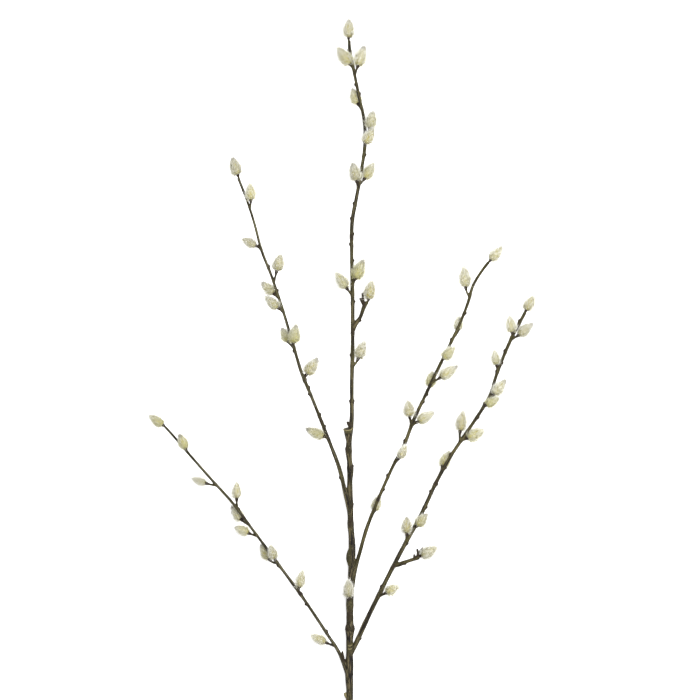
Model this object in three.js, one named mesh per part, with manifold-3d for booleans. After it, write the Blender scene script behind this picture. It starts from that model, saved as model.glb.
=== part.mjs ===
// A cut spray of pussy willow lying on a table. One piece of wood, which is a leader with four side
// branches, two spurs, catkin stalks and buds, carries fifty-six silky catkins.
// Lengths are millimetres. The table is z = 0 and +Y runs from the cut end to the tip of the leader.

import * as THREE from "three";
import Module from "manifold-3d";

const wasm = await Module();
wasm.setup();

// Driving dimensions of the wood
const RING_STEP = 16;
const LEADER_SIDES = 8;
const BRANCH_SIDES = 6;
const SPUR_SIDES = 6;
const STALK_SIDES = 4;
const BUD_SIDES = 3;
const STALK_RADIUS = 1.1;
const SCALE_RADIUS = 1.75;
const STALK_SINK = 3;
const TIP_STALK = 3;
const BUD_LENGTH = 3.4;
const BUD_RADIUS = 1.0;
const UPPER_BUD_STEP = 95;
const CUT_SLANT = 0.35;

// Driving dimensions of the catkins
const CATKIN_GAP = 0.3;
const CATKIN_SIDES = 10;
const CATKIN_RINGS = 7;
const CATKIN_SLIMNESS = 0.53;
const CATKIN_WIDEST = 10.4;
const TUFT_RELIEF = 0.09;

const BARK = new THREE.MeshStandardMaterial({ color: 0x524c3a, roughness: 0.8, metalness: 0 });
const SILK = new THREE.MeshStandardMaterial({ color: 0xcdc8ac, roughness: 0.95, metalness: 0 });

// Each limb is a route of x, y, z and radius from its root to its end. A catkin row holds the x and y of
// its base, the height of the base over the limb's own line, its heading from +Y towards +X, its rise from
// the level, both in degrees, its length and, where it is slimmer or fuller than most, its width over its
// length. Buds are placed by their y on the limb's left and right.
const LIMBS = {
  leader: {
    sides: LEADER_SIDES,
    route: [
      [6.9, -346.5, 4.3, 3.7], [7.8, -325, 4.7, 3.5], [7.3, -313, 5, 3.8], [7.2, -303, 5.3, 4.2],
      [7.6, -290, 5.7, 3.6], [7.6, -273, 6.2, 3.4], [7.8, -268, 6.3, 3.9], [8, -263, 6.5, 4.5],
      [8, -257, 6.7, 3.5], [7.9, -247, 7, 3.55], [7.9, -236, 7.3, 3.75], [8.6, -222, 7.7, 3.6],
      [9.4, -207, 8.2, 3.4], [9.9, -195, 8.6, 3.35], [10.1, -180, 9.2, 3.3], [9.6, -169, 9.6, 3.05],
      [8.7, -159, 10, 3.15], [8.5, -149, 10.4, 3], [8, -139, 10.8, 3.3], [7.9, -114, 11.6, 2.75],
      [8.4, -104, 11.9, 3.25], [7.6, -94, 12.3, 2.65], [6.8, -85.5, 12.6, 3.15], [7.1, -75, 12.9, 2.8],
      [8.4, -64, 13.2, 2.7], [9.7, -52, 13.5, 2.2], [9.9, -40, 13.7, 2], [9.8, -18, 14, 1.95],
      [10.6, 19, 14.5, 1.9], [10.6, 67, 15, 1.9], [9.7, 117, 15, 1.75], [10.2, 145, 14.6, 1.95],
      [14.6, 170, 13.8, 1.75], [19.5, 197, 12.8, 1.6], [23.1, 224, 11.7, 1.6], [22.1, 247, 10.8, 1.5],
      [17.1, 271, 10.9, 1.5], [12.2, 295, 12.4, 1.4], [7.6, 319, 14.6, 1.6], [7.2, 326.5, 15.4, 1.45],
    ],
    tip: [6.6, 329.5, 0, 2, 6, 18],
    catkins: [
      [8, 303, 3.2, -37, 14, 20.5], [15.8, 301.2, -2.5, 18, -4, 20.5], [16.2, 263.5, -4, -21, -24, 17],
      [27.6, 239, 1.5, 12, 8, 16.8, 0.58], [23.3, 223.7, 4, 28, 22, 18], [14.4, 186.6, 4, -11, 16, 18],
      [22.4, 188.6, -3.4, 32, -6, 18], [13.5, 88.5, 4, 23, 18, 20.8], [4.7, 78.9, 0.5, -35, 4, 18.5, 0.49],
      [16.2, 8.4, -1, 20, 0, 18], [6.4, -230.6, 7.6, 0, 20, 18.6, 0.46],
    ],
    left: [316, 282, 225, 162, 147, 121, 11, -36, -84, -188, -262],
    right: [272, 211, 132, 105, 64, -36, -101, -139, -262],
  },
  upper_left: {
    sides: BRANCH_SIDES,
    route: [
      [7.7, -145, 10.5, 2.3], [4.4, -131, 12, 2.1], [-2.8, -101, 15.5, 1.95], [-11.7, -77, 18.7, 1.8],
      [-30.7, -29, 26, 1.6], [-40.6, -5, 29.8, 1.65], [-47.8, 19, 33.3, 1.45], [-58.4, 55, 39, 1.4],
      [-70.4, 91.2, 45.5, 1.3], [-80, 116, 50, 1.35], [-86.9, 142, 54.5, 1.2], [-93.8, 164, 58.5, 1.2],
      [-103, 187.8, 63, 1.2],
    ],
    tip: [-103.4, 190.8, 0, -18, 5, 17.8, 0.56],
    catkins: [
      [-90.6, 165.7, 2.8, -2, 5, 16.8], [-85.3, 120.6, 0, -63, 4, 15.2], [-65, 95.6, 0.5, 14, 6, 16.5, 0.6],
      [-68, 73, -1.5, -46, -6, 16], [-63.4, 58.8, 1, -49, 8, 17], [-53.4, 25.2, -3.8, -26, -18, 15.5],
      [-48.3, 24, 4.6, 8, 16, 18.5], [-35.4, -7.4, 0.5, 34, 5, 19, 0.58],
      [-17.9, -69.6, 0, -66, 4, 18.8, 0.47],
    ],
    left: [15, -28, -112],
    right: [99, 75, -14, -22, -49, -61],
  },
  lower_left: {
    sides: BRANCH_SIDES,
    route: [
      [6.2, -309, 5.3, 2.5], [1.4, -295.2, 6, 2.1], [-5.1, -282.2, 6.4, 1.6], [-13.8, -269, 6.9, 1.5],
      [-37.8, -233, 8.2, 1.5], [-64, -197.2, 9.9, 1.5], [-90.8, -161, 10.9, 1.35],
      [-108.8, -137, 12.4, 1.3], [-130, -113.2, 15.8, 1.35], [-151.3, -89, 18.6, 1.25],
      [-165.2, -72.8, 21, 1.25], [-176.3, -60.3, 23.2, 1.15],
    ],
    tip: [-178.7, -58.2, 0, -55, 5, 16.5, 0.5],
    catkins: [
      [-156.1, -81.5, 3.6, -24, 20, 16], [-136, -116.4, 0, -71, 0, 14.5, 0.48],
      [-105.4, -131.7, 1, 1, 8, 16.2, 0.48], [-100.7, -152.7, -5, -36, -22, 16.5],
      [-93.4, -166.4, 0, -66, 2, 14.8, 0.56], [-72.9, -192.4, -3.6, -30, -10, 16],
      [-67.2, -192.2, 4, -18, 18, 15.2], [-43, -220.7, 1.5, 13, 10, 17.5, 0.48],
      [-16, -276, 1.5, -64, 8, 16.5, 0.48],
    ],
    left: [-200, -238],
    right: [-144, -229, -266],
  },
  inner_right: {
    sides: BRANCH_SIDES,
    route: [
      [10.1, -223, 7.6, 2.1], [13.2, -203, 9.2, 1.95], [18, -185.1, 11.5, 1.85], [24.9, -161, 15.2, 1.8],
      [34.3, -137, 19, 1.55], [49.9, -101.2, 24.5, 1.6], [62.3, -77.2, 28, 1.75], [71.1, -54, 31.3, 1.75],
      [82.8, -29, 34.7, 1.55], [100.1, 7.2, 39.3, 1.6], [117.4, 43.1, 44, 1.4], [125.8, 65, 46.6, 1.5],
      [130.4, 80.8, 48.3, 1.45], [138.1, 94, 49.8, 1.4], [145.7, 104.2, 51.2, 1.4],
    ],
    tip: [147.7, 106.4, 0, 41.5, 5, 17.5],
    catkins: [
      [123.2, 79.6, 1.5, -5, 6, 20.4], [115.6, 36.6, -3.8, 5, -18, 14.4, 0.57],
      [101.2, 8.4, 4.3, 43, 20, 17], [87.5, -19.6, -3.8, 12, -16, 15.5, 0.57],
      [97.8, -10.8, 0.5, 56, 4, 20.4, 0.5], [67.6, -49.5, 1, -6, 6, 16, 0.6], [75.9, -54.6, -1, 59, 0, 18],
      [57.2, -90.8, 4.2, 29, 22, 15.4], [32.6, -143.6, -4.2, 17, -18, 16],
    ],
    left: [26, -75, -110],
    right: [53, -28, -36, -123],
  },
  outer_right: {
    sides: BRANCH_SIDES,
    route: [
      [9.1, -287, 5.8, 2.38], [14.9, -275.2, 6.3, 2.35], [23.05, -257, 7, 2.35], [40.55, -221, 8.2, 2.08],
      [58.9, -185.2, 9.6, 2.05], [78.4, -149.4, 10.6, 1.95], [95.5, -113.2, 10.8, 1.83],
      [108.9, -89.2, 12.1, 1.68], [125.05, -65, 15.4, 1.7], [140.9, -41, 18.6, 1.63],
      [147.55, -29, 20.2, 1.48], [155.4, -5, 23.2, 1.6], [169.9, 30, 27.5, 1.7], [183, 54.8, 30.8, 1.55],
    ],
    tip: [183.53, 56.4, 0, 29, 5, 16, 0.58],
    catkins: [
      [169.9, 34.4, 2.5, -8, 8, 16.8], [176.1, 31.7, -1, 51, 0, 18], [154.4, 1.9, 1.5, -8, 6, 14.8],
      [151.6, -27.6, 3.6, 39, 6, 18.5], [144, -38.2, 3.6, 60, 13, 15], [118.2, -64, 1, 8, 5, 20, 0.46],
      [125.3, -71.3, -0.5, 64, 3, 19, 0.57], [100.8, -99.6, -5, 25, -22, 17],
      [64.6, -166.5, 3.6, 1, 9, 16.2], [75.1, -159, 4, 40, 18, 15.8, 0.55],
      [43.9, -226.3, 2, 61, 8, 15, 0.58],
    ],
    left: [44, 14, -6, -38, -89, -126, -222],
    right: [3, -51, -102, -118, -141, -177, -273],
  },
  leader_spur: {
    sides: SPUR_SIDES,
    route: [
      [11.1, 37, 14.7, 2.1], [12.75, 41.5, 15, 2.3], [18.3, 49.8, 15.6, 1.85], [22.3, 60.6, 16.2, 1.9],
      [25.3, 65, 16.6, 1.6],
    ],
    tip: [26.4, 67.6, 0.3, 10, 8, 18.7],
    catkins: [],
    left: [61],
    right: [46],
  },
  outer_spur: {
    sides: SPUR_SIDES,
    route: [
      [52.1, -199, 9.2, 2.1], [57.6, -197.6, 9.8, 2.15], [63.1, -195.4, 10.6, 1.7],
      [69.5, -193.2, 11.8, 1.73], [77.1, -190.7, 13.4, 1.7],
    ],
    tip: [78.9, -189.2, 0.4, 62, 8, 18.2, 0.57],
    catkins: [],
    left: [-191.5],
    right: [-196],
  },
};

// Short dead stubs with blunt ends: the pruned stub of the old leader with a snag beside it, the knot on
// the old stem, twiglets on the two spurs, the thorn of wood in the crotch of the lower left branch and the
// leaf bud near the cut.
const STUBS = [
  [[7.2, -86, 12.5, 2.2], [6.9, -74.5, 13, 2.8], [5.8, -62, 16.8, 4.5]],
  [[8.8, -61, 14.4, 1.4], [6.8, -57.6, 15.6, 1.6], [5.2, -54.6, 16.2, 1.1]],
  [[7.6, -199, 8.6, 1.6], [6.9, -191.5, 9, 2.8], [7.2, -187, 9.3, 2.6], [8.2, -181, 9.4, 1.2]],
  [[22.2, 60, 16.2, 1.4], [21.1, 68, 17.5, 1.3], [20.6, 74.3, 18.2, 1.2]],
  [[22, 61.5, 16.2, 1.3], [19.8, 65.4, 16.6, 1.2], [17.8, 69, 17, 0.8]],
  [[75.4, -190.6, 13, 1.4], [75.9, -186, 14, 1.15], [75, -182, 14.6, 1]],
  [[75.8, -187.4, 13.8, 1.1], [78.4, -183.8, 14.8, 1], [81, -180.6, 15.4, 0.9]],
  [[72.8, -192, 12.4, 1.2], [72.2, -189.2, 13, 1], [72.2, -187.2, 13.4, 0.7]],
  [[1.8, -295, 6.2, 1.5], [0.7, -288.5, 8.2, 1.2], [0.3, -284.5, 9.2, 0.8]],
  [[5.2, -332, 5, 1.3], [3.4, -328.6, 5.4, 1.5], [2.9, -326.4, 5.7, 1.2]],
];

const UP = new THREE.Vector3(0, 0, 1);
const ALONG = new THREE.Vector3(0, 1, 0);

function routeOf(rows) {
  return {
    line: new THREE.CatmullRomCurve3(rows.map(([x, y, z]) => new THREE.Vector3(x, y, z))),
    radii: rows.map((row) => row[3]),
  };
}

function radiusAt(route, t) {
  const place = t * (route.radii.length - 1);
  const i = Math.min(Math.floor(place), route.radii.length - 2);
  return THREE.MathUtils.lerp(route.radii[i], route.radii[i + 1], place - i);
}

// Every limb rises in y all the way, so a place on it is found from its y by halving.
function placeAt(route, y) {
  let low = 0;
  let high = 1;
  for (let k = 0; k < 30; k += 1) {
    const middle = (low + high) / 2;
    if (route.line.getPoint(middle).y < y) low = middle;
    else high = middle;
  }
  return (low + high) / 2;
}

// The place on a limb that is nearest to a point, searched in small steps along the limb.
function nearestPlace(route, point) {
  let best = 0;
  let least = Infinity;
  for (let k = 0; k <= 600; k += 1) {
    const distance = route.line.getPoint(k / 600).distanceTo(point);
    if (distance < least) {
      least = distance;
      best = k / 600;
    }
  }
  return best;
}

// A lathe profile whose height is the place along a line, bent to follow that line.
function bentRod(line, profile, sides, slant = 0) {
  const rod = new THREE.LatheGeometry(profile, sides);
  const spots = rod.attributes.position;
  for (let i = 0; i < spots.count; i += 1) {
    const t = spots.getY(i);
    const forward = line.getTangent(t);
    const side = forward.clone().cross(UP).normalize();
    const over = side.clone().cross(forward);
    const spot = line.getPoint(t);
    spot.addScaledVector(side, spots.getX(i));
    spot.addScaledVector(over, spots.getZ(i));
    if (t === 0) spot.addScaledVector(forward, slant * spots.getX(i));
    spots.setXYZ(i, spot.x, spot.y, spot.z);
  }
  return rod;
}

function limbRod(rows, sides, slant) {
  const route = routeOf(rows);
  const spans = rows.length - 1;
  const profile = [new THREE.Vector2(0, 0)];
  for (let i = 0; i < spans; i += 1) {
    const length = route.line.getPoint(i / spans).distanceTo(route.line.getPoint((i + 1) / spans));
    const steps = Math.max(1, Math.round(length / RING_STEP));
    for (let k = 0; k < steps; k += 1) {
      const t = (i + k / steps) / spans;
      profile.push(new THREE.Vector2(radiusAt(route, t), t));
    }
  }
  profile.push(new THREE.Vector2(radiusAt(route, 1), 1));
  profile.push(new THREE.Vector2(0, 1));
  return bentRod(route.line, profile, sides, slant);
}

// A stalk leaves its limb, bends into the catkin's line and swells into the bud scale at its end.
function stalkRod(foot, base, aim) {
  const reach = foot.distanceTo(base);
  const bend = base.clone().addScaledVector(aim, -0.5 * reach);
  const profile = [
    new THREE.Vector2(0, 0),
    new THREE.Vector2(1.3 * STALK_RADIUS, 0),
    new THREE.Vector2(STALK_RADIUS, 0.55),
    new THREE.Vector2(SCALE_RADIUS, 0.85),
    new THREE.Vector2(0.8 * SCALE_RADIUS, 1),
    new THREE.Vector2(0, 1),
  ];
  return bentRod(new THREE.QuadraticBezierCurve3(foot, bend, base), profile, STALK_SIDES);
}

// A bud lies close along its limb with its root sunk in the wood.
function budSpike(route, t, across) {
  const spike = new THREE.LatheGeometry(
    [
      new THREE.Vector2(0, 0),
      new THREE.Vector2(BUD_RADIUS, 0.15 * BUD_LENGTH),
      new THREE.Vector2(0.8 * BUD_RADIUS, 0.6 * BUD_LENGTH),
      new THREE.Vector2(0, BUD_LENGTH),
    ],
    BUD_SIDES,
  );
  const aim = route.line.getTangent(t).multiplyScalar(0.85).addScaledVector(across, 0.53).normalize();
  const root = route.line.getPoint(t).addScaledVector(across, 0.75 * radiusAt(route, t));
  spike.applyQuaternion(new THREE.Quaternion().setFromUnitVectors(ALONG, aim));
  spike.translate(root.x, root.y, root.z);
  return spike;
}

// An egg of silk with a soft point. Alternate corners stand out, as the tufts on the scales do.
function catkinEgg(length, slimness = CATKIN_SLIMNESS) {
  const widest = 0.5 * Math.min(slimness * length, CATKIN_WIDEST);
  const profile = [];
  for (let j = 0; j <= CATKIN_RINGS + 1; j += 1) {
    const t = 0.5 - 0.5 * Math.cos((Math.PI * j) / (CATKIN_RINGS + 1));
    const swell = Math.max(Math.sin(Math.PI * t ** 0.8), 0) ** 0.66;
    profile.push(new THREE.Vector2(j > CATKIN_RINGS ? 0 : widest * swell, t * length));
  }
  const egg = new THREE.LatheGeometry(profile, CATKIN_SIDES);
  const spots = egg.attributes.position;
  for (let i = 0; i < spots.count; i += 1) {
    const ring = i % profile.length;
    const side = Math.floor(i / profile.length);
    const tuft = 1 + ((ring + side) % 2 ? -TUFT_RELIEF : TUFT_RELIEF);
    spots.setX(i, spots.getX(i) * tuft);
    spots.setZ(i, spots.getZ(i) * tuft);
  }
  return egg;
}

function solidOf(geometry) {
  const spots = geometry.attributes.position;
  const seen = new Map();
  const corners = [];
  const renamed = [];
  for (let i = 0; i < spots.count; i += 1) {
    const spot = [spots.getX(i), spots.getY(i), spots.getZ(i)];
    const key = spot.map((value) => Math.round(value * 1000)).join(" ");
    if (!seen.has(key)) {
      seen.set(key, seen.size);
      corners.push(...spot);
    }
    renamed.push(seen.get(key));
  }
  const faces = [];
  const order = geometry.index.array;
  for (let i = 0; i < order.length; i += 3) {
    const [a, b, c] = [renamed[order[i]], renamed[order[i + 1]], renamed[order[i + 2]]];
    if (a !== b && b !== c && c !== a) faces.push(a, b, c);
  }
  return new wasm.Manifold(new wasm.Mesh({
    numProp: 3,
    vertProperties: new Float32Array(corners),
    triVerts: new Uint32Array(faces),
  }));
}

function meshOf(name, solid, material) {
  const mesh = solid.getMesh();
  const geometry = new THREE.BufferGeometry();
  geometry.setAttribute("position", new THREE.BufferAttribute(mesh.vertProperties, 3));
  geometry.setIndex(new THREE.BufferAttribute(mesh.triVerts, 1));
  geometry.computeVertexNormals();
  const result = new THREE.Mesh(geometry, material);
  result.name = name;
  return result;
}

function aimOf(heading, rise) {
  const turn = THREE.MathUtils.degToRad(heading);
  const lift = THREE.MathUtils.degToRad(rise);
  return new THREE.Vector3(Math.sin(turn) * Math.cos(lift), Math.cos(turn) * Math.cos(lift), Math.sin(lift));
}

const twig = new THREE.Group();
twig.name = "willow_twig";
const wood = [];

for (const [limb, plan] of Object.entries(LIMBS)) {
  const route = routeOf(plan.route);
  wood.push(solidOf(limbRod(plan.route, plan.sides, limb === "leader" ? CUT_SLANT : 0)));

  // Catkins, the one on the limb's end first
  [plan.tip, ...plan.catkins].forEach(([x, y, over, heading, rise, length, slimness], i) => {
    const aim = aimOf(heading, rise);
    const level = i === 0 ? route.line.getPoint(1) : route.line.getPoint(placeAt(route, y));
    const base = new THREE.Vector3(x, y, level.z + over);
    const near = nearestPlace(route, base);
    const away = route.line.getPoint(near).distanceTo(base);
    const back = i === 0 ? TIP_STALK : away + STALK_SINK;
    const foot = route.line.getPoint(Math.max(0, near - back / route.line.getLength()));
    wood.push(solidOf(stalkRod(foot, base, aim)));
    const egg = catkinEgg(length, slimness);
    egg.applyQuaternion(new THREE.Quaternion().setFromUnitVectors(ALONG, aim));
    const start = base.clone().addScaledVector(aim, CATKIN_GAP);
    egg.translate(start.x, start.y, start.z);

    // Silk that reaches the table is pressed flat on it
    const spots = egg.attributes.position;
    for (let k = 0; k < spots.count; k += 1) spots.setZ(k, Math.max(spots.getZ(k), 0));
    twig.add(meshOf(`catkin_${limb}_${String(i + 1).padStart(2, "0")}`, solidOf(egg), SILK));
  });

  // Buds on the two sides, then a few on top of the limb
  for (const [heights, sign] of [[plan.left, -1], [plan.right, 1]]) {
    for (const y of heights) {
      const t = placeAt(route, y);
      const across = route.line.getTangent(t).cross(UP).normalize().multiplyScalar(sign);
      wood.push(solidOf(budSpike(route, t, across)));
    }
  }
  const length = route.line.getLength();
  for (let run = UPPER_BUD_STEP; run < length - UPPER_BUD_STEP; run += UPPER_BUD_STEP) {
    const t = run / length;
    const forward = route.line.getTangent(t);
    wood.push(solidOf(budSpike(route, t, forward.clone().cross(UP).normalize().cross(forward))));
  }
}

for (const rows of STUBS) wood.push(solidOf(limbRod(rows, SPUR_SIDES, 0)));
const grown = wood.reduce((sum, piece) => sum.add(piece));
twig.add(meshOf("twig_wood", grown, BARK));

export default twig;
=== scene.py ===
import math
import random

import bmesh
import bpy
import numpy as np
from mathutils import Matrix, Vector
from mathutils.kdtree import KDTree


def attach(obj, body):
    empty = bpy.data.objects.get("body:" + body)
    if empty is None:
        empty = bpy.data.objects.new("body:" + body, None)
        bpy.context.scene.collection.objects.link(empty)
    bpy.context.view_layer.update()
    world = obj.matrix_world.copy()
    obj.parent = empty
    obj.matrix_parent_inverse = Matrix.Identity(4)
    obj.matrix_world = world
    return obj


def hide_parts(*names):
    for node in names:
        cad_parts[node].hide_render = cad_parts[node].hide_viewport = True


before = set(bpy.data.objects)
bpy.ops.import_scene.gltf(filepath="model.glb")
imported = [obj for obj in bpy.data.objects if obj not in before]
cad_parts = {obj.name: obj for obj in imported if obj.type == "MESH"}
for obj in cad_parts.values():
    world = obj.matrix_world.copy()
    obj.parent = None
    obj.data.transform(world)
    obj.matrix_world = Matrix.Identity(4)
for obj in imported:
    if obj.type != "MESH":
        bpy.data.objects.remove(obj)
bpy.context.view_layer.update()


# Limbs of the twig
# A cut spray of willow: a leader, four side branches and two spurs that grew as one piece of wood.
# A row is x, y, z and radius in millimetres along a limb; buds sit at these y on its left and right.
MM = 0.001
limbs = {
    "leader": {
        "route": [
            (6.9, -346.5, 4.3, 3.7), (7.8, -325, 4.7, 3.5), (7.3, -313, 5, 3.8), (7.2, -303, 5.3, 4.2),
            (7.6, -290, 5.7, 3.6), (7.6, -273, 6.2, 3.4), (7.8, -268, 6.3, 3.9), (8, -263, 6.5, 4.5),
            (8, -257, 6.7, 3.5), (7.9, -247, 7, 3.55), (7.9, -236, 7.3, 3.75), (8.6, -222, 7.7, 3.6),
            (9.4, -207, 8.2, 3.4), (9.9, -195, 8.6, 3.35), (10.1, -180, 9.2, 3.3), (9.6, -169, 9.6, 3.05),
            (8.7, -159, 10, 3.15), (8.5, -149, 10.4, 3), (8, -139, 10.8, 3.3), (7.9, -114, 11.6, 2.75),
            (8.4, -104, 11.9, 3.25), (7.6, -94, 12.3, 2.65), (6.8, -85.5, 12.6, 3.15),
            (7.1, -75, 12.9, 2.8), (8.4, -64, 13.2, 2.7), (9.7, -52, 13.5, 2.2), (9.9, -40, 13.7, 2),
            (9.8, -18, 14, 1.95), (10.6, 19, 14.5, 1.9), (10.6, 67, 15, 1.9), (9.7, 117, 15, 1.75),
            (10.2, 145, 14.6, 1.95), (14.6, 170, 13.8, 1.75), (19.5, 197, 12.8, 1.6),
            (23.1, 224, 11.7, 1.6), (22.1, 247, 10.8, 1.5), (17.1, 271, 10.9, 1.5), (12.2, 295, 12.4, 1.4),
            (7.6, 319, 14.6, 1.6), (7.2, 326.5, 15.4, 1.45),
        ],
        "left": (316, 282, 225, 162, 147, 121, 11, -36, -84, -188, -262),
        "right": (272, 211, 132, 105, 64, -36, -101, -139, -262),
    },
    "upper_left": {
        "route": [
            (7.7, -145, 10.5, 2.3), (4.4, -131, 12, 2.1), (-2.8, -101, 15.5, 1.95), (-11.7, -77, 18.7, 1.8),
            (-30.7, -29, 26, 1.6), (-40.6, -5, 29.8, 1.65), (-47.8, 19, 33.3, 1.45), (-58.4, 55, 39, 1.4),
            (-70.4, 91.2, 45.5, 1.3), (-80, 116, 50, 1.35), (-86.9, 142, 54.5, 1.2),
            (-93.8, 164, 58.5, 1.2), (-103, 187.8, 63, 1.2),
        ],
        "left": (15, -28, -112),
        "right": (99, 75, -14, -22, -49, -61),
    },
    "lower_left": {
        "route": [
            (6.2, -309, 5.3, 2.5), (1.4, -295.2, 6, 2.1), (-5.1, -282.2, 6.4, 1.6), (-13.8, -269, 6.9, 1.5),
            (-37.8, -233, 8.2, 1.5), (-64, -197.2, 9.9, 1.5), (-90.8, -161, 10.9, 1.35),
            (-108.8, -137, 12.4, 1.3), (-130, -113.2, 15.8, 1.35), (-151.3, -89, 18.6, 1.25),
            (-165.2, -72.8, 21, 1.25), (-176.3, -60.3, 23.2, 1.15),
        ],
        "left": (-200, -238),
        "right": (-144, -229, -266),
    },
    "inner_right": {
        "route": [
            (10.1, -223, 7.6, 2.1), (13.2, -203, 9.2, 1.95), (18, -185.1, 11.5, 1.85),
            (24.9, -161, 15.2, 1.8), (34.3, -137, 19, 1.55), (49.9, -101.2, 24.5, 1.6),
            (62.3, -77.2, 28, 1.75), (71.1, -54, 31.3, 1.75), (82.8, -29, 34.7, 1.55),
            (100.1, 7.2, 39.3, 1.6), (117.4, 43.1, 44, 1.4), (125.8, 65, 46.6, 1.5),
            (130.4, 80.8, 48.3, 1.45), (138.1, 94, 49.8, 1.4), (145.7, 104.2, 51.2, 1.4),
        ],
        "left": (26, -75, -110),
        "right": (53, -28, -36, -123),
    },
    "outer_right": {
        "route": [
            (9.1, -287, 5.8, 2.38), (14.9, -275.2, 6.3, 2.35), (23.05, -257, 7, 2.35),
            (40.55, -221, 8.2, 2.08), (58.9, -185.2, 9.6, 2.05), (78.4, -149.4, 10.6, 1.95),
            (95.5, -113.2, 10.8, 1.83), (108.9, -89.2, 12.1, 1.68), (125.05, -65, 15.4, 1.7),
            (140.9, -41, 18.6, 1.63), (147.55, -29, 20.2, 1.48), (155.4, -5, 23.2, 1.6),
            (169.9, 30, 27.5, 1.7), (183, 54.8, 30.8, 1.55),
        ],
        "left": (44, 14, -6, -38, -89, -126, -222),
        "right": (3, -51, -102, -118, -141, -177, -273),
    },
    "leader_spur": {
        "route": [
            (11.1, 37, 14.7, 2.1), (12.75, 41.5, 15, 2.3), (18.3, 49.8, 15.6, 1.85),
            (22.3, 60.6, 16.2, 1.9), (25.3, 65, 16.6, 1.6),
        ],
        "left": (61,),
        "right": (46,),
    },
    "outer_spur": {
        "route": [
            (52.1, -199, 9.2, 2.1), (57.6, -197.6, 9.8, 2.15), (63.1, -195.4, 10.6, 1.7),
            (69.5, -193.2, 11.8, 1.73), (77.1, -190.7, 13.4, 1.7),
        ],
        "left": (-191.5,),
        "right": (-196,),
    },
}
stubs = {
    "pruned": [(7.2, -86, 12.5, 2.2), (6.9, -74.5, 13, 2.8), (5.8, -62, 16.8, 4.5)],
    "snag": [(8.8, -61, 14.4, 1.4), (6.8, -57.6, 15.6, 1.6), (5.2, -54.6, 16.2, 1.1)],
    "knot": [(7.6, -199, 8.6, 1.6), (6.9, -191.5, 9, 2.8), (7.2, -187, 9.3, 2.6), (8.2, -181, 9.4, 1.2)],
    "leader_twiglet": [(22.2, 60, 16.2, 1.4), (21.1, 68, 17.5, 1.3), (20.6, 74.3, 18.2, 1.2)],
    "leader_thorn": [(22, 61.5, 16.2, 1.3), (19.8, 65.4, 16.6, 1.2), (17.8, 69, 17, 0.8)],
    "outer_twiglet": [(75.4, -190.6, 13, 1.4), (75.9, -186, 14, 1.15), (75, -182, 14.6, 1)],
    "outer_fork": [(75.8, -187.4, 13.8, 1.1), (78.4, -183.8, 14.8, 1), (81, -180.6, 15.4, 0.9)],
    "outer_thorn": [(72.8, -192, 12.4, 1.2), (72.2, -189.2, 13, 1), (72.2, -187.2, 13.4, 0.7)],
    "crotch_thorn": [(1.8, -295, 6.2, 1.5), (0.7, -288.5, 8.2, 1.2), (0.3, -284.5, 9.2, 0.8)],
    "leaf_bud": [(5.2, -332, 5, 1.3), (3.4, -328.6, 5.4, 1.5), (2.9, -326.4, 5.7, 1.2)],
}
wood_lines = bpy.data.curves.new("wood_lines", "CURVE")
wood_lines.dimensions = "3D"
wood_lines.bevel_depth = 1.0
wood_lines.bevel_resolution = 4
wood_lines.use_fill_caps = True
grain_samples = []
pale_samples = []


def between(t, start, stop, low, high):
    """The row at t on the straight way from low at start to high at stop."""
    return ((stop - t) * low + (t - start) * high) / (stop - start)


def smooth_line(rows):
    """Points and radii about every millimetre on a smooth curve through the rows of a limb."""
    knots = [np.array(row, float) for row in rows]
    knots = [2 * knots[0] - knots[1], *knots, 2 * knots[-1] - knots[-2]]
    pace = np.cumsum([0] + [np.linalg.norm((b - a)[:3]) ** 0.5 for a, b in zip(knots, knots[1:])])
    line = []
    for i in range(1, len(knots) - 2):
        t0, t1, t2, t3 = pace[i - 1 : i + 3]
        steps = max(2, round((t2 - t1) ** 2))
        for t in t1 + (t2 - t1) * np.arange(steps) / steps:
            a = between(t, t0, t1, knots[i - 1], knots[i])
            b = between(t, t1, t2, knots[i], knots[i + 1])
            c = between(t, t2, t3, knots[i + 1], knots[i + 2])
            line.append(between(t, t1, t2, between(t, t0, t2, a, b), between(t, t1, t3, b, c)))
    line.append(knots[-2])
    return np.array(line)


def run_along(line):
    """Length from the root to each point of a line."""
    steps = np.linalg.norm(np.diff(line[:, :3], axis=0), axis=1)
    return np.concatenate([[0], np.cumsum(steps)])


def headings(line):
    """Forward, sideways and over directions at each point of a line."""
    forward = np.gradient(line[:, :3], axis=0)
    forward /= np.linalg.norm(forward, axis=1)[:, None]
    side = np.cross(forward, (0, 0, 1))
    side /= np.linalg.norm(side, axis=1)[:, None]
    return forward, side, np.cross(side, forward)


def grow_rod(line, radii, start, dark=0.0, pale=0.0):
    """Adds one rod of wood, with samples that tell the bark its grain, dark scales and pale scars.

    Start is the place on the grain's pattern where the rod begins.
    """
    rod = wood_lines.splines.new("POLY")
    rod.points.add(len(line) - 1)
    for spot, place, radius in zip(rod.points, line, radii):
        spot.co = (*(place[:3] * MM), 1)
        spot.radius = radius * MM
    side, over = headings(line)[1:]
    run = run_along(line) + start
    dark = np.broadcast_to(dark, len(line))
    for k in range(len(line)):
        grain_samples.append((line[k, :3], side[k], over[k], run[k], radii[k], dark[k], pale))
        if pale:
            pale_samples.append((line[k, :3], radii[k]))


limb_lines = {name: smooth_line(limb["route"]) for name, limb in limbs.items()}
limb_knees = {name: [] for name in limbs}


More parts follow.
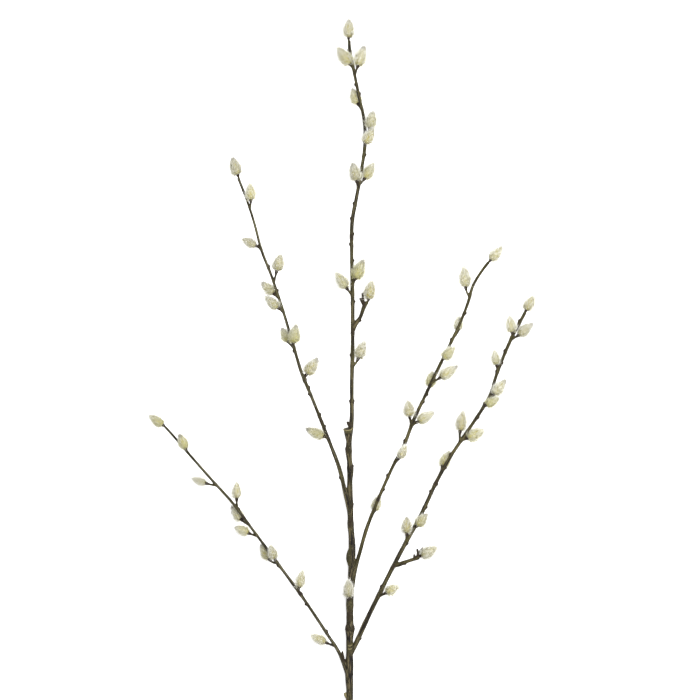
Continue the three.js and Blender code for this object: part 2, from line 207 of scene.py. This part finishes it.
# Catkin stalks and bud scales
# A stalk leaves its limb, bends into the catkin's line and swells into the dark scale that held the bud.
# Where the catkin is and which way it points is read from its solid, whose fuller half is the foot.
STALK_RADIUS = 1.1
STALK_POINTS = 14
STALK_FORM = ((0, 0.5, 0.7, 0.85, 1), (1.4, 1, 1.05, 1.5, 1.75))
STALK_SINK = 3
STALK_BEND = 0.5
STALK_KNEE = 1.5
STALK_GRAIN = 10000
STALK_GRAIN_STEP = 50
SCALE_EDGE = (0.6, 0.8)
CUP_REACH = (0.7, 1.3)
CUP_FORM = (1.8, 1.6)
CUP_DARK = (1, 1)
CATKIN_GAP = 0.3


def catkin_pose(node):
    """Foot, tip and half width of a catkin's solid, in millimetres."""
    spots = np.array([corner.co for corner in node.data.vertices]) / MM
    apart = np.linalg.norm(spots[:, None] - spots[None], axis=2)
    first, last = np.unravel_index(apart.argmax(), apart.shape)
    foot, tip = spots[first], spots[last]
    length = np.linalg.norm(tip - foot)
    run = (spots - foot) @ (tip - foot) / length
    width = np.linalg.norm(spots - foot - run[:, None] * (tip - foot) / length, axis=1)
    if width[run < length / 2].mean() < width[run > length / 2].mean():
        foot, tip = tip, foot
    return foot, tip, width.max()


catkin_poses = {}
for name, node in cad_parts.items():
    if not name.startswith("catkin_"):
        continue
    foot, tip, half_width = catkin_pose(node)
    catkin_poses[name] = (foot, tip, half_width)
    aim = (tip - foot) / np.linalg.norm(tip - foot)
    end = foot - CATKIN_GAP * aim
    limb, number = name.removeprefix("catkin_").rsplit("_", 1)
    line = limb_lines[limb]
    run = run_along(line)
    if number == "01":
        leave = len(line) - 1 - STALK_SINK
    else:
        away = np.linalg.norm(line[:, :3] - end, axis=1)
        near = away.argmin()
        sink = away[near] + STALK_SINK
        leave = np.searchsorted(run, max(run[near] - sink, 0))
        limb_knees[limb].append(run[leave] + STALK_KNEE)
    root = line[leave, :3]
    bend = end - STALK_BEND * np.linalg.norm(end - root) * aim
    t = np.linspace(0, 1, STALK_POINTS)
    thickness = np.interp(t, *STALK_FORM)
    dark = np.interp(t, SCALE_EDGE, (0, 1))
    t = t[:, None]
    stalk = (1 - t) ** 2 * root + 2 * t * (1 - t) * bend + t ** 2 * end
    stalk = np.vstack([stalk, end + np.outer(CUP_REACH, aim)])
    thickness = STALK_RADIUS * np.append(thickness, CUP_FORM)
    start = STALK_GRAIN + STALK_GRAIN_STEP * len(catkin_poses)
    grow_rod(stalk, thickness, start, dark=np.append(dark, CUP_DARK))


# Buds
# Resting buds lie close along the limbs, each over the small swelling where a leaf was.
# They are single pointed scales, darker than the bark.
BUD_LENGTH = 3.4
BUD_RADIUS = 1.0
BUD_POINTS = 9
BUD_FORM = ((0, 0.2, 0.5, 0.8, 1), (0.7, 1, 0.9, 0.55, 0.2))
BUD_FORWARD = 0.85
BUD_ASIDE = 0.53
BUD_ROOT = 0.75
BUD_HOOK = 0.5
BUD_DARK = 0.75
BUD_GRAIN = 20000
BUD_GRAIN_STEP = 20
UPPER_BUD_STEP = 95


def grow_bud(line, k, across, start):
    """A bud whose root is sunk in the limb at point k, on the side that across points to."""
    forward = headings(line)[0][k]
    aim = BUD_FORWARD * forward + BUD_ASIDE * across
    aim /= np.linalg.norm(aim)
    root = line[k, :3] + BUD_ROOT * line[k, 3] * across
    t = np.linspace(0, 1, BUD_POINTS)
    thickness = np.interp(t, *BUD_FORM)
    t = t[:, None]
    bud = root + BUD_LENGTH * t * aim - BUD_HOOK * t ** 2 * across
    grow_rod(bud, BUD_RADIUS * thickness, start, dark=BUD_DARK)


bud_count = 0
for name, limb in limbs.items():
    line = limb_lines[name]
    run = run_along(line)
    side, over = headings(line)[1:]
    buds = []
    for heights, hand in ((limb["left"], -1), (limb["right"], 1)):
        for y in heights:
            k = np.abs(line[:, 1] - y).argmin()
            buds.append((k, hand * side[k]))
    for stop in np.arange(UPPER_BUD_STEP, run[-1] - UPPER_BUD_STEP, UPPER_BUD_STEP):
        k = np.searchsorted(run, stop)
        buds.append((k, over[k]))
    for k, across in buds:
        bud_count += 1
        limb_knees[name].append(run[k])
        grow_bud(line, k, across, BUD_GRAIN + BUD_GRAIN_STEP * bud_count)


# Stem, branches, spurs and stubs
# Grown wood, thickened a little at each knee where a bud or stalk leaves it, and slightly uneven.
# The leader is grown longer than its cut foot, and the dry stubs are darker than the limbs.
BARK_DEPTH = 0.17
KNEE_SWELL = 0.2
KNEE_REACH = 1.8
WAVE_SWELL = 0.04
SHORT_WAVE = 4.3
LONG_WAVE = 11.7
CUT_SPARE = 4
LIMB_GRAIN_STEP = 1000
STUB_BARK_DEPTH = 0.5 * BARK_DEPTH
STUB_GRAIN = 30000
STUB_GRAIN_STEP = 60
DRY_STUBS = ("twiglet", "thorn", "fork", "snag")
DRY_DARK = 0.75
LEAF_BUD_PALE = 0.4

for order, (name, line) in enumerate(limb_lines.items()):
    run = run_along(line)
    radii = line[:, 3] + BARK_DEPTH
    for knee in limb_knees[name]:
        radii += KNEE_SWELL * np.exp(-((run - knee) / KNEE_REACH) ** 2)
    radii *= 1 + WAVE_SWELL * np.sin(run / SHORT_WAVE + order) * np.sin(run / LONG_WAVE + 2 * order)
    if name == "leader":
        forward = headings(line)[0][0]
        foot_row = np.append(line[0, :3] - CUT_SPARE * forward, line[0, 3])
        line = np.vstack([foot_row, line])
        radii = np.append(radii[0], radii)
    grow_rod(line, radii, LIMB_GRAIN_STEP * order)
for order, (name, rows) in enumerate(stubs.items()):
    line = smooth_line(rows)
    start = STUB_GRAIN + STUB_GRAIN_STEP * order
    dark = DRY_DARK if name.endswith(DRY_STUBS) else 0
    pale = LEAF_BUD_PALE if name == "leaf_bud" else 0
    grow_rod(line, line[:, 3] + STUB_BARK_DEPTH, start, dark=dark, pale=pale)


# Pruned end and leaf scars
# The pruned stub ends in a flat dark heart inside a pale rim of healed bark.
# Two leaf scars low on the leader are thin pale arcs that stand a little proud of the bark.
RIM_POINTS = 90
RIM_RADIUS = 0.4
RIM_INSET = 0.1
RIM_PALE = 0.58
RIM_GRAIN = 40000
HEART_DEPTH = 0.6
HEART_INSET = 0.5
HEART_DARK = 0.6
HEART_GRAIN = 40100
SCARS = ((-279.4, 0.9), (-283.2, 0.7))
SCAR_POINTS = 20
SCAR_START = -0.4
SCAR_SWEEP = 1.6
SCAR_RADII = (0.4, 0.3)
SCAR_PALE = 0.42
SCAR_GRAIN = 40200

stub = smooth_line(stubs["pruned"])
end = stub[-1, :3]
end_radius = stub[-1, 3]
forward, side, over = (way[-1] for way in headings(stub))
turn = np.linspace(0, 2 * math.pi, RIM_POINTS)[:, None]
rim = end + (end_radius - RIM_INSET) * (np.cos(turn) * side + np.sin(turn) * over)
grow_rod(rim, np.full(RIM_POINTS, RIM_RADIUS), RIM_GRAIN, pale=RIM_PALE)
heart = end + np.outer((-HEART_DEPTH, 0), forward)
grow_rod(heart, np.full(len(heart), end_radius - HEART_INSET), HEART_GRAIN, dark=HEART_DARK)
leader = limb_lines["leader"]
for height, reach in SCARS:
    k = np.abs(leader[:, 1] - height).argmin()
    forward, side, over = (way[k] for way in headings(leader))
    turn = np.linspace(SCAR_START, reach, SCAR_POINTS)[:, None]
    arc = leader[k, :3] + leader[k, 3] * (np.sin(turn) * side + np.cos(turn) * over)
    arc += SCAR_SWEEP * turn ** 2 * forward
    grow_rod(arc, np.linspace(*SCAR_RADII, SCAR_POINTS), SCAR_GRAIN, pale=SCAR_PALE)


# Bark
# All rods are fused into one skin of bark, and the foot of the leader is cut with one slanting stroke.
# The bark is olive brown, ridged along the grain and dotted with pale pores, with deep furrows on the
# old wood, and its young crests carry painted shade on the left of the spray and painted sunlight on the
# right.
# The cut shows a brown pith, fresh wood and a thin green layer under the bark.
SKIN_STEP = 0.5
SKIN_KEPT = 0.54
CUT_SLANT = 0.35
FOOT_CENTRE = (6.9, -346.3, 4.3)
PITH_EDGE = (0.0005, 0.0009)
CAMBIUM_EDGE = (0.0031, 0.0036)
YOUNG_RADIUS = 1.5
AGEING = 1.9
SCAR_FADE = 3
OLIVE_SHARE = 0.35
RELIEF_DEPTH = 0.0003
YOUNG_FURROW = (0.007, 0.0045, 0.002, 1)
# Crest colours of the young bark: a painted shaded grey copy for the left of the spray and a painted sunlit
# olive copy for the right.
SHADED_CREST = (0.079, 0.071, 0.037, 1)
SUNLIT_CREST = (0.061, 0.052, 0.018, 1)
OLD_FURROW = (0.004, 0.0022, 0.001, 1)
OLD_CREST = (0.112, 0.09, 0.046, 1)
DEEP_STREAK = (0.003, 0.0016, 0.0008, 1)
OLIVE_PATCH = (0.045, 0.04, 0.009, 1)
PORE_BUFF = (0.16, 0.135, 0.075, 1)
SCALE_BROWN = (0.018, 0.011, 0.006, 1)
SCAR_CREAM = (0.34, 0.29, 0.14, 1)
PITH_BROWN = (0.3, 0.2, 0.11, 1)
FRESH_WOOD = (0.66, 0.56, 0.37, 1)
CAMBIUM_GREEN = (0.2, 0.19, 0.07, 1)
WOOD_SPECK = (0.5, 0.4, 0.25, 1)


def new_object(name, data):
    """An object in the scene."""
    thing = bpy.data.objects.new(name, data)
    bpy.context.scene.collection.objects.link(thing)
    return thing


def finished_mesh(thing):
    """A mesh of an object as its bevel or modifiers leave it."""
    bpy.context.view_layer.update()
    graph = bpy.context.evaluated_depsgraph_get()
    return bpy.data.meshes.new_from_object(thing.evaluated_get(graph))


rods = new_object("wood_rods", wood_lines)
loose_wood = finished_mesh(rods)
bpy.data.objects.remove(rods)
wood = new_object("twig_bark", loose_wood)
fuse = wood.modifiers.new("fuse", "REMESH")
fuse.mode = "VOXEL"
fuse.voxel_size = SKIN_STEP * MM
soften = wood.modifiers.new("soften", "SMOOTH")
soften.factor = 0.5
soften.iterations = 2
thin_out = wood.modifiers.new("thin_out", "DECIMATE")
thin_out.ratio = SKIN_KEPT
fused = finished_mesh(wood)
wood.modifiers.clear()

forward, side = (way[0] for way in headings(leader)[:2])
skin = bmesh.new()
skin.from_mesh(fused)
stroke = bmesh.ops.bisect_plane(
    skin,
    geom=[*skin.verts, *skin.edges, *skin.faces],
    plane_co=leader[0, :3] * MM,
    plane_no=forward - CUT_SLANT * side,
    clear_inner=True,
)
cut_edges = [edge for edge in stroke["geom_cut"] if isinstance(edge, bmesh.types.BMEdge)]
cut_faces = bmesh.ops.edgeloop_fill(skin, edges=cut_edges)["faces"]
for face in skin.faces:
    face.smooth = True
for face in cut_faces:
    face.smooth = False
    face.material_index = 1
skin.to_mesh(fused)
skin.free()
wood.data = fused


def nearest_samples(spots, samples):
    """The columns of the samples, with the one that is nearest to each spot."""
    tree = KDTree(len(samples))
    for k, sample in enumerate(samples):
        tree.insert(sample[0] * MM, k)
    tree.balance()
    nearest = np.array([tree.find(spot)[1] for spot in spots])
    return [np.array(column)[nearest] for column in zip(*samples)]


skin_spots = np.empty(3 * len(fused.vertices))
fused.vertices.foreach_get("co", skin_spots)
skin_spots = skin_spots.reshape(-1, 3)
centre, side, over, run, radius, dark, pale = nearest_samples(skin_spots, grain_samples)
offset = skin_spots / MM - centre
straight = np.stack([(offset * side).sum(1), (offset * over).sum(1), run], axis=1)
pale_centre, pale_radius = nearest_samples(skin_spots, pale_samples)
pale_gap = np.linalg.norm(skin_spots / MM - pale_centre, axis=1) - pale_radius
for name, kind, field, values in (
    ("straight", "FLOAT_VECTOR", "vector", straight),
    ("age", "FLOAT", "value", np.clip((radius - YOUNG_RADIUS) / AGEING, 0, 1)),
    ("dark", "FLOAT", "value", dark),
    ("pale", "FLOAT", "value", pale),
    ("pale_gap", "FLOAT", "value", np.minimum(pale_gap, SCAR_FADE)),
):
    layer = fused.attributes.new(name, kind, "POINT")
    layer.data.foreach_set(field, values.astype(np.float32).ravel())


def shade(material, kind, wires, **settings):
    """One shader node of a material. Wires are the sockets or plain values for its inputs."""
    node = material.node_tree.nodes.new("ShaderNode" + kind)
    for name, value in settings.items():
        setattr(node, name, value)
    for name, value in wires.items():
        if isinstance(value, bpy.types.NodeSocket):
            material.node_tree.links.new(value, node.inputs[name])
        else:
            node.inputs[name].default_value = value
    return node


def attribute(material, name, output="Fac"):
    """What an attribute of the mesh says at each point."""
    return shade(material, "Attribute", {}, attribute_name=name).outputs[output]


def blend_colours(material, factor, low, high):
    """A colour between low and high."""
    return shade(material, "Mix", {0: factor, 6: low, 7: high}, data_type="RGBA").outputs[2]


def ramp(material, factor, low, high):
    """A value from 0 to 1 while factor goes from low to high."""
    wires = {"Value": factor, "From Min": low, "From Max": high}
    return shade(material, "MapRange", wires, interpolation_type="SMOOTHSTEP").outputs[0]


def new_material(name):
    """An empty node material and its surface shader."""
    material = bpy.data.materials.new(name)
    material.use_nodes = True
    return material, material.node_tree.nodes["Principled BSDF"]


def grain_noise(across, along, detail, roughness):
    """Noise on the bark, with so many waves a millimetre across and along the grain."""
    waves = shade(bark, "Mapping", {"Vector": grain, "Scale": (across, across, along)}).outputs[0]
    wires = {"Vector": waves, "Scale": 1, "Detail": detail, "Roughness": roughness}
    return shade(bark, "TexNoise", wires).outputs[0]


bark, surface = new_material("willow_bark")
grain = attribute(bark, "straight", "Vector")
ridges = grain_noise(0.75, 0.045, 5, 0.6)
fibres = grain_noise(4, 0.5, 3, 0.6)
streaks = grain_noise(0.45, 0.05, 4, 0.6)
patches = grain_noise(0.15, 0.03, 3, 0.55)
dotted = shade(bark, "Mapping", {"Vector": grain, "Scale": (0.5, 0.5, 0.28)}).outputs[0]
dots = shade(bark, "TexVoronoi", {"Vector": dotted, "Scale": 1, "Randomness": 1}).outputs["Distance"]
pores = ramp(bark, dots, 0.2, 0.08)
place = shade(bark, "TexCoord", {}).outputs["Object"]
across = shade(bark, "SeparateXYZ", {"Vector": place}).outputs["X"]
# Painted light: the young crests blend from the shaded grey copy on the left of the spray to the sunlit
# olive copy on the right, along X.
sun_and_shade_crest = blend_colours(bark, ramp(bark, across, -0.03, 0.03), SHADED_CREST, SUNLIT_CREST)
young = blend_colours(bark, ramp(bark, ridges, 0.41, 0.6), YOUNG_FURROW, sun_and_shade_crest)
old = blend_colours(bark, ramp(bark, ridges, 0.45, 0.58), OLD_FURROW, OLD_CREST)
furrowed = blend_colours(bark, ramp(bark, streaks, 0.54, 0.45), old, DEEP_STREAK)
aged = blend_colours(bark, attribute(bark, "age"), young, furrowed)
patchy = blend_colours(bark, ramp(bark, patches, 0.42, 0.62), aged, OLIVE_PATCH)
olive = blend_colours(bark, OLIVE_SHARE, aged, patchy)
porous = blend_colours(bark, pores, olive, PORE_BUFF)
scaly = blend_colours(bark, attribute(bark, "dark"), porous, SCALE_BROWN)
scar_edge = ramp(bark, attribute(bark, "pale_gap"), 0.25, 0.05)
scar_wires = {0: attribute(bark, "pale"), 1: scar_edge}
scar_mask = shade(bark, "Math", scar_wires, operation="MULTIPLY").outputs[0]
scarred = blend_colours(bark, scar_mask, scaly, SCAR_CREAM)
rough = shade(bark, "MapRange", {"Value": fibres, "To Min": 0.5, "To Max": 0.8}).outputs[0]
height = shade(bark, "Math", {0: ridges, 1: fibres}, operation="ADD").outputs[0]
height = shade(bark, "Math", {0: height, 1: pores}, operation="ADD").outputs[0]
relief = shade(bark, "Bump", {"Height": height, "Strength": 0.8, "Distance": RELIEF_DEPTH}).outputs[0]
bark.node_tree.links.new(scarred, surface.inputs["Base Color"])
bark.node_tree.links.new(rough, surface.inputs["Roughness"])
bark.node_tree.links.new(relief, surface.inputs["Normal"])
surface.inputs["Specular IOR Level"].default_value = 0.18

cut_wood, surface = new_material("cut_wood")
place = shade(cut_wood, "TexCoord", {}).outputs["Object"]
to_centre = [-MM * size for size in FOOT_CENTRE]
centred = shade(cut_wood, "Mapping", {"Vector": place, "Location": to_centre}).outputs[0]
specks = shade(cut_wood, "TexNoise", {"Vector": centred, "Scale": 900, "Detail": 4}).outputs[0]
middle = shade(cut_wood, "VectorMath", {0: centred}, operation="LENGTH").outputs["Value"]
pith = blend_colours(cut_wood, ramp(cut_wood, middle, *PITH_EDGE), PITH_BROWN, FRESH_WOOD)
ringed = blend_colours(cut_wood, ramp(cut_wood, middle, *CAMBIUM_EDGE), pith, CAMBIUM_GREEN)
speckled = blend_colours(cut_wood, ramp(cut_wood, specks, 0.4, 0.7), ringed, WOOD_SPECK)
cut_wood.node_tree.links.new(speckled, surface.inputs["Base Color"])
surface.inputs["Roughness"].default_value = 0.85

fused.materials.clear()
fused.materials.append(bark)
fused.materials.append(cut_wood)
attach(wood, "root")
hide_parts("twig_wood")


# Catkins
# A catkin is a core of small scales in a spiral, and every scale bears a tuft of long silky hairs that
# lie towards the tip. The silk is cream and nearly white at the ends; the core and the hair roots are
# yellow olive, darkened with painted shade deep in the fur, and some catkins are riper at the foot, greyer
# all over or dusky at the tip.
SILK_LENGTH = 17.0
SILK_WIDTH = 9.0
CORE_LENGTH = 16.2
CORE_WIDTH = 7.6
CORE_TONE = 0.3
LOW_BELLY = 0.68
FULLNESS = 0.68
SLOPE_STEP = 0.01
TUFTS = 118
FIRST_TUFT = 0.02
TUFTS_SPAN = 0.93
TUFTS_EASING = 1.05
GOLDEN_TURN = 2.39996
HAIRS_A_TUFT = 11
HAIR_TONES = (0, 0.17, 0.33, 0.5, 0.67, 0.83, 1)
TONES_A_TUFT = 3
HAIR_WIDTH = 0.19
HAIR_BELLY = 1.6
HAIR_BOW = 2.2
HAIR_LEAN = (0.15, 0.75)
HAIR_REACH = (2.9, 5.2)
TIP_CALM = 0.25
ROOT_SINK = 0.15
ROOT_SCATTER = 0.02
ROOT_RANGE = (0.012, 0.97)
TURN_SCATTER = 0.19
LIFT_SCATTER = 0.12
SWAY_SCATTER = 0.2
LENGTH_SPREAD = (0.75, 1.15)
STRAY_SHARE = 0.3
STRAY_LENGTH = (1.2, 1.7)
STRAY_BREADTH = 0.6
STRAY_LIFT = 0.35
PATTERN_SEEDS = (11, 23, 37, 51, 68, 84)
SPIN_SEED = 7
FULL_SPIN = 6.28
TABLE_CLEAR = 0.0001
RIPE_REACH = 1.3
RIPE_LEAST = 0.04
RIPE_SPREAD = 0.6
RIPE_RARITY = 2.5
DUSK_START = 0.78
DUSK_REACH = 0.16
DUSK_MOST = 0.75
DUSK_RARITY = 0.6
GREY_MOST = 0.24
GREY_RARITY = 1.5
# Root colours: the silk's own yellow olive, darkened with painted shade of the fur's depths.
SHADED_ROOT_OLIVE = (0.3, 0.27, 0.1, 1)
SHADED_ROOT_YELLOW = (0.36, 0.31, 0.06, 1)
DULL_CREAM = (0.74, 0.73, 0.54, 1)
DULL_YELLOW = (0.7, 0.67, 0.34, 1)
BRIGHT_CREAM = (0.9, 0.87, 0.72, 1)
LIGHT_CREAM = (0.96, 0.94, 0.84, 1)
END_WHITE = (0.98, 0.98, 0.95, 1)
RIPE_OLIVE = (0.44, 0.42, 0.14, 1)
DUSK_BROWN = (0.2, 0.18, 0.13, 1)


def swell(t):
    """Share of the full half width at t from foot to tip."""
    return max(math.sin(math.pi * min(max(t, 0), 1) ** LOW_BELLY), 0) ** FULLNESS


def silk_hair(tone):
    """One hair as a three-sided needle of length 1 and width 1, bowed outwards at its middle."""
    hair = bmesh.new()
    lifted = Matrix.Translation((0, 0, 0.5))
    bmesh.ops.create_cone(hair, cap_ends=True, segments=3, radius1=0.5, radius2=0, depth=1, matrix=lifted)
    bmesh.ops.remove_doubles(hair, verts=hair.verts, dist=0.001)
    long_edges = [edge for edge in hair.edges if abs(edge.verts[0].co.z - edge.verts[1].co.z) > 0.5]
    bmesh.ops.subdivide_edges(hair, edges=long_edges, cuts=1)
    belly = [corner for corner in hair.verts if 0.2 < corner.co.z < 0.8]
    bmesh.ops.scale(hair, verts=belly, vec=(HAIR_BELLY, HAIR_BELLY, 1))
    bmesh.ops.translate(hair, verts=belly, vec=(HAIR_BOW, 0, 0))
    layer = hair.loops.layers.uv.new("silk")
    for face in hair.faces:
        face.smooth = True
        for corner in face.loops:
            corner[layer].uv = (tone, corner.vert.co.z)
    mesh = bpy.data.meshes.new("silk_hair")
    hair.to_mesh(mesh)
    hair.free()
    return mesh


def silky_catkin(seed, hairs):
    """One catkin on +Z with its foot at the origin, in millimetres."""
    draw = random.Random(seed)
    fur = bmesh.new()
    layer = fur.loops.layers.uv.new("silk")
    bmesh.ops.create_uvsphere(fur, u_segments=16, v_segments=12, radius=1)
    for corner in fur.verts:
        t = math.acos(max(-1, min(1, -corner.co.z))) / math.pi
        flat = max(math.hypot(corner.co.x, corner.co.y), 1e-9)
        width = 0.5 * CORE_WIDTH * swell(t)
        corner.co = (corner.co.x / flat * width, corner.co.y / flat * width, t * CORE_LENGTH)
    for face in fur.faces:
        face.smooth = True
        for corner in face.loops:
            corner[layer].uv = (CORE_TONE, 0)
    for tuft in range(TUFTS):
        share = (tuft + 0.5) / TUFTS
        middle = FIRST_TUFT + TUFTS_SPAN * share ** TUFTS_EASING
        calm = 1 - TIP_CALM * middle
        lean = draw.uniform(*HAIR_LEAN) * calm
        reach = draw.uniform(*HAIR_REACH) * calm
        tone = draw.randrange(len(hairs) - TONES_A_TUFT + 1)
        for _ in range(HAIRS_A_TUFT):
            t = min(max(middle + draw.gauss(0, ROOT_SCATTER), ROOT_RANGE[0]), ROOT_RANGE[1])
            turn = tuft * GOLDEN_TURN + draw.gauss(0, TURN_SCATTER) / max(swell(t), 0.3)
            width = 0.5 * CORE_WIDTH * swell(t)
            rise = swell(t + SLOPE_STEP) - swell(t - SLOPE_STEP)
            slope = 0.5 * CORE_WIDTH * rise / (2 * SLOPE_STEP)
            out = Vector((math.cos(turn), math.sin(turn), 0))
            along = (out * slope + Vector((0, 0, CORE_LENGTH))).normalized()
            normal = (out * CORE_LENGTH - Vector((0, 0, slope))).normalized()
            lift = lean + draw.gauss(0, LIFT_SCATTER)
            sway = out.cross(Vector((0, 0, 1))) * draw.gauss(0, SWAY_SCATTER)
            aim = (along * math.cos(lift) + normal * math.sin(lift) + sway).normalized()
            length = reach * draw.uniform(*LENGTH_SPREAD)
            breadth = HAIR_WIDTH
            if draw.random() < STRAY_SHARE:
                length *= draw.uniform(*STRAY_LENGTH)
                breadth *= STRAY_BREADTH
                aim = (aim + STRAY_LIFT * normal).normalized()
            bow = (normal - aim * normal.dot(aim)).normalized()
            place = Matrix((bow, aim.cross(bow), aim)).transposed().to_4x4()
            size = Matrix.Diagonal((breadth, breadth, length, 1))
            root = out * width + Vector((0, 0, t * CORE_LENGTH)) - normal * ROOT_SINK
            needle = hairs[tone + draw.randrange(TONES_A_TUFT)].copy()
            needle.transform(Matrix.Translation(root) @ place @ size)
            fur.from_mesh(needle)
            bpy.data.meshes.remove(needle)
    mesh = bpy.data.meshes.new("silk")
    fur.to_mesh(mesh)
    fur.free()
    return mesh


silk, surface = new_material("catkin_silk")
strand = shade(silk, "UVMap", {}, uv_map="silk").outputs[0]
strand_parts = shade(silk, "SeparateXYZ", {"Vector": strand}).outputs
strand_tone = strand_parts["X"]
up_strand = strand_parts["Y"]
place = shade(silk, "TexCoord", {}).outputs["Object"]
clouds = shade(silk, "TexNoise", {"Vector": place, "Scale": 38, "Detail": 1}).outputs[0]
mottle = shade(silk, "TexNoise", {"Vector": place, "Scale": 420, "Detail": 3}).outputs[0]
warmth = ramp(silk, clouds, 0.36, 0.64)
low = blend_colours(silk, warmth, SHADED_ROOT_OLIVE, SHADED_ROOT_YELLOW)
dull = blend_colours(silk, warmth, DULL_CREAM, DULL_YELLOW)
bright = blend_colours(silk, ramp(silk, mottle, 0.3, 0.7), BRIGHT_CREAM, LIGHT_CREAM)
body = blend_colours(silk, ramp(silk, strand_tone, 0.1, 0.9), dull, bright)
# The roots and the core take the root colours: partly their own yellow olive and partly painted shade deep
# in the fur.
root_shaded = blend_colours(silk, ramp(silk, up_strand, 0.02, 0.55), low, body)
ended = blend_colours(silk, ramp(silk, up_strand, 0.32, 0.78), root_shaded, END_WHITE)
ripened = blend_colours(silk, attribute(silk, "ripe"), ended, RIPE_OLIVE)
dusky = blend_colours(silk, attribute(silk, "dusk"), ripened, DUSK_BROWN)
silk.node_tree.links.new(dusky, surface.inputs["Base Color"])
surface.inputs["Roughness"].default_value = 0.6
surface.inputs["Sheen Weight"].default_value = 0.25
surface.inputs["Sheen Roughness"].default_value = 0.4

hairs = [silk_hair(tone) for tone in HAIR_TONES]
patterns = [silky_catkin(seed, hairs) for seed in PATTERN_SEEDS]
for pattern in patterns:
    pattern.materials.append(silk)
spin = random.Random(SPIN_SEED)
for order, (name, (foot, tip, half_width)) in enumerate(catkin_poses.items()):
    aim = Vector(tip - foot)
    mesh = patterns[order % len(patterns)].copy()
    girth = 2 * half_width / SILK_WIDTH
    stretch = aim.length / SILK_LENGTH
    size = Matrix.Diagonal((girth * MM, girth * MM, stretch * MM, 1))
    roll = Matrix.Rotation(spin.uniform(0, FULL_SPIN), 4, "Z")
    turn = aim.to_track_quat("Z", "Y").to_matrix().to_4x4() @ roll
    mesh.transform(Matrix.Translation(Vector(foot) * MM) @ turn @ size)
    for corner in mesh.vertices:
        corner.co.z = max(corner.co.z, TABLE_CLEAR)
    spots = np.empty(3 * len(mesh.vertices), np.float32)
    mesh.vertices.foreach_get("co", spots)
    along = (spots.reshape(-1, 3) / MM - foot) @ np.array(aim.normalized()) / aim.length
    ripe_share = RIPE_LEAST + RIPE_SPREAD * spin.random() ** RIPE_RARITY
    ripeness = np.clip(RIPE_REACH - along, 0, RIPE_REACH) * ripe_share
    dusk_share = max(spin.random() * (1 + DUSK_RARITY) - DUSK_RARITY, 0)
    darkness = np.clip((along - DUSK_START) / DUSK_REACH, 0, 1) * DUSK_MOST * dusk_share
    darkness = np.maximum(darkness, GREY_MOST * spin.random() ** GREY_RARITY)
    for kind, values in (("ripe", ripeness), ("dusk", darkness)):
        layer = mesh.attributes.new(kind, "FLOAT", "POINT")
        layer.data.foreach_set("value", values.astype(np.float32))
    catkin = new_object("silk_" + name, mesh)
    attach(catkin, "root")
    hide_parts(name)
for mesh in hairs + patterns:
    bpy.data.meshes.remove(mesh)


# Table, light and camera
# The spray lies on a plain white table under a broad soft light from above.
# The camera looks straight down on it through a long lens.
TABLE_REACH = 5
TABLE_DROP = 0.0003
PAPER_WHITE = (0.82, 0.82, 0.82, 1)
PAPER_GLOW = 0.48
WHITE_LIGHT = (1, 1, 1, 1)
ROOM_LIGHT = 0.52
LAMP_PLACE = (0.6, 0.3, 1.8)
LAMP_SIZE = 1.6
LAMP_POWER = 77
CAMERA_PLACE = (0.008, 0.017, 7.02)
LONG_LENS = 360

table_top = bmesh.new()
bmesh.ops.create_grid(table_top, x_segments=1, y_segments=1, size=TABLE_REACH)
bmesh.ops.translate(table_top, verts=table_top.verts, vec=(0, 0, -TABLE_DROP))
mesh = bpy.data.meshes.new("table_top")
table_top.to_mesh(mesh)
table_top.free()
paper, surface = new_material("white_paper")
surface.inputs["Base Color"].default_value = PAPER_WHITE
surface.inputs["Roughness"].default_value = 0.9
surface.inputs["Emission Color"].default_value = WHITE_LIGHT
surface.inputs["Emission Strength"].default_value = PAPER_GLOW
mesh.materials.append(paper)
table = new_object("table_top", mesh)

world = bpy.data.worlds.new("studio")
world.use_nodes = True
room = world.node_tree.nodes["Background"]
room.inputs["Color"].default_value = WHITE_LIGHT
room.inputs["Strength"].default_value = ROOM_LIGHT
bpy.context.scene.world = world
lamp = bpy.data.lights.new("soft_box", "AREA")
lamp.size = LAMP_SIZE
lamp.energy = LAMP_POWER
soft_box = new_object("soft_box", lamp)
soft_box.location = LAMP_PLACE
soft_box.rotation_euler = Vector(LAMP_PLACE).to_track_quat("Z", "Y").to_euler()
soft_box.visible_camera = False

lens = bpy.data.cameras.new("photo_camera")
lens.sensor_width = 36
lens.lens = LONG_LENS
lens.clip_end = 50
camera = new_object("photo_camera", lens)
camera.location = CAMERA_PLACE
bpy.context.scene.camera = camera
bpy.context.scene.view_settings.view_transform = "Standard"
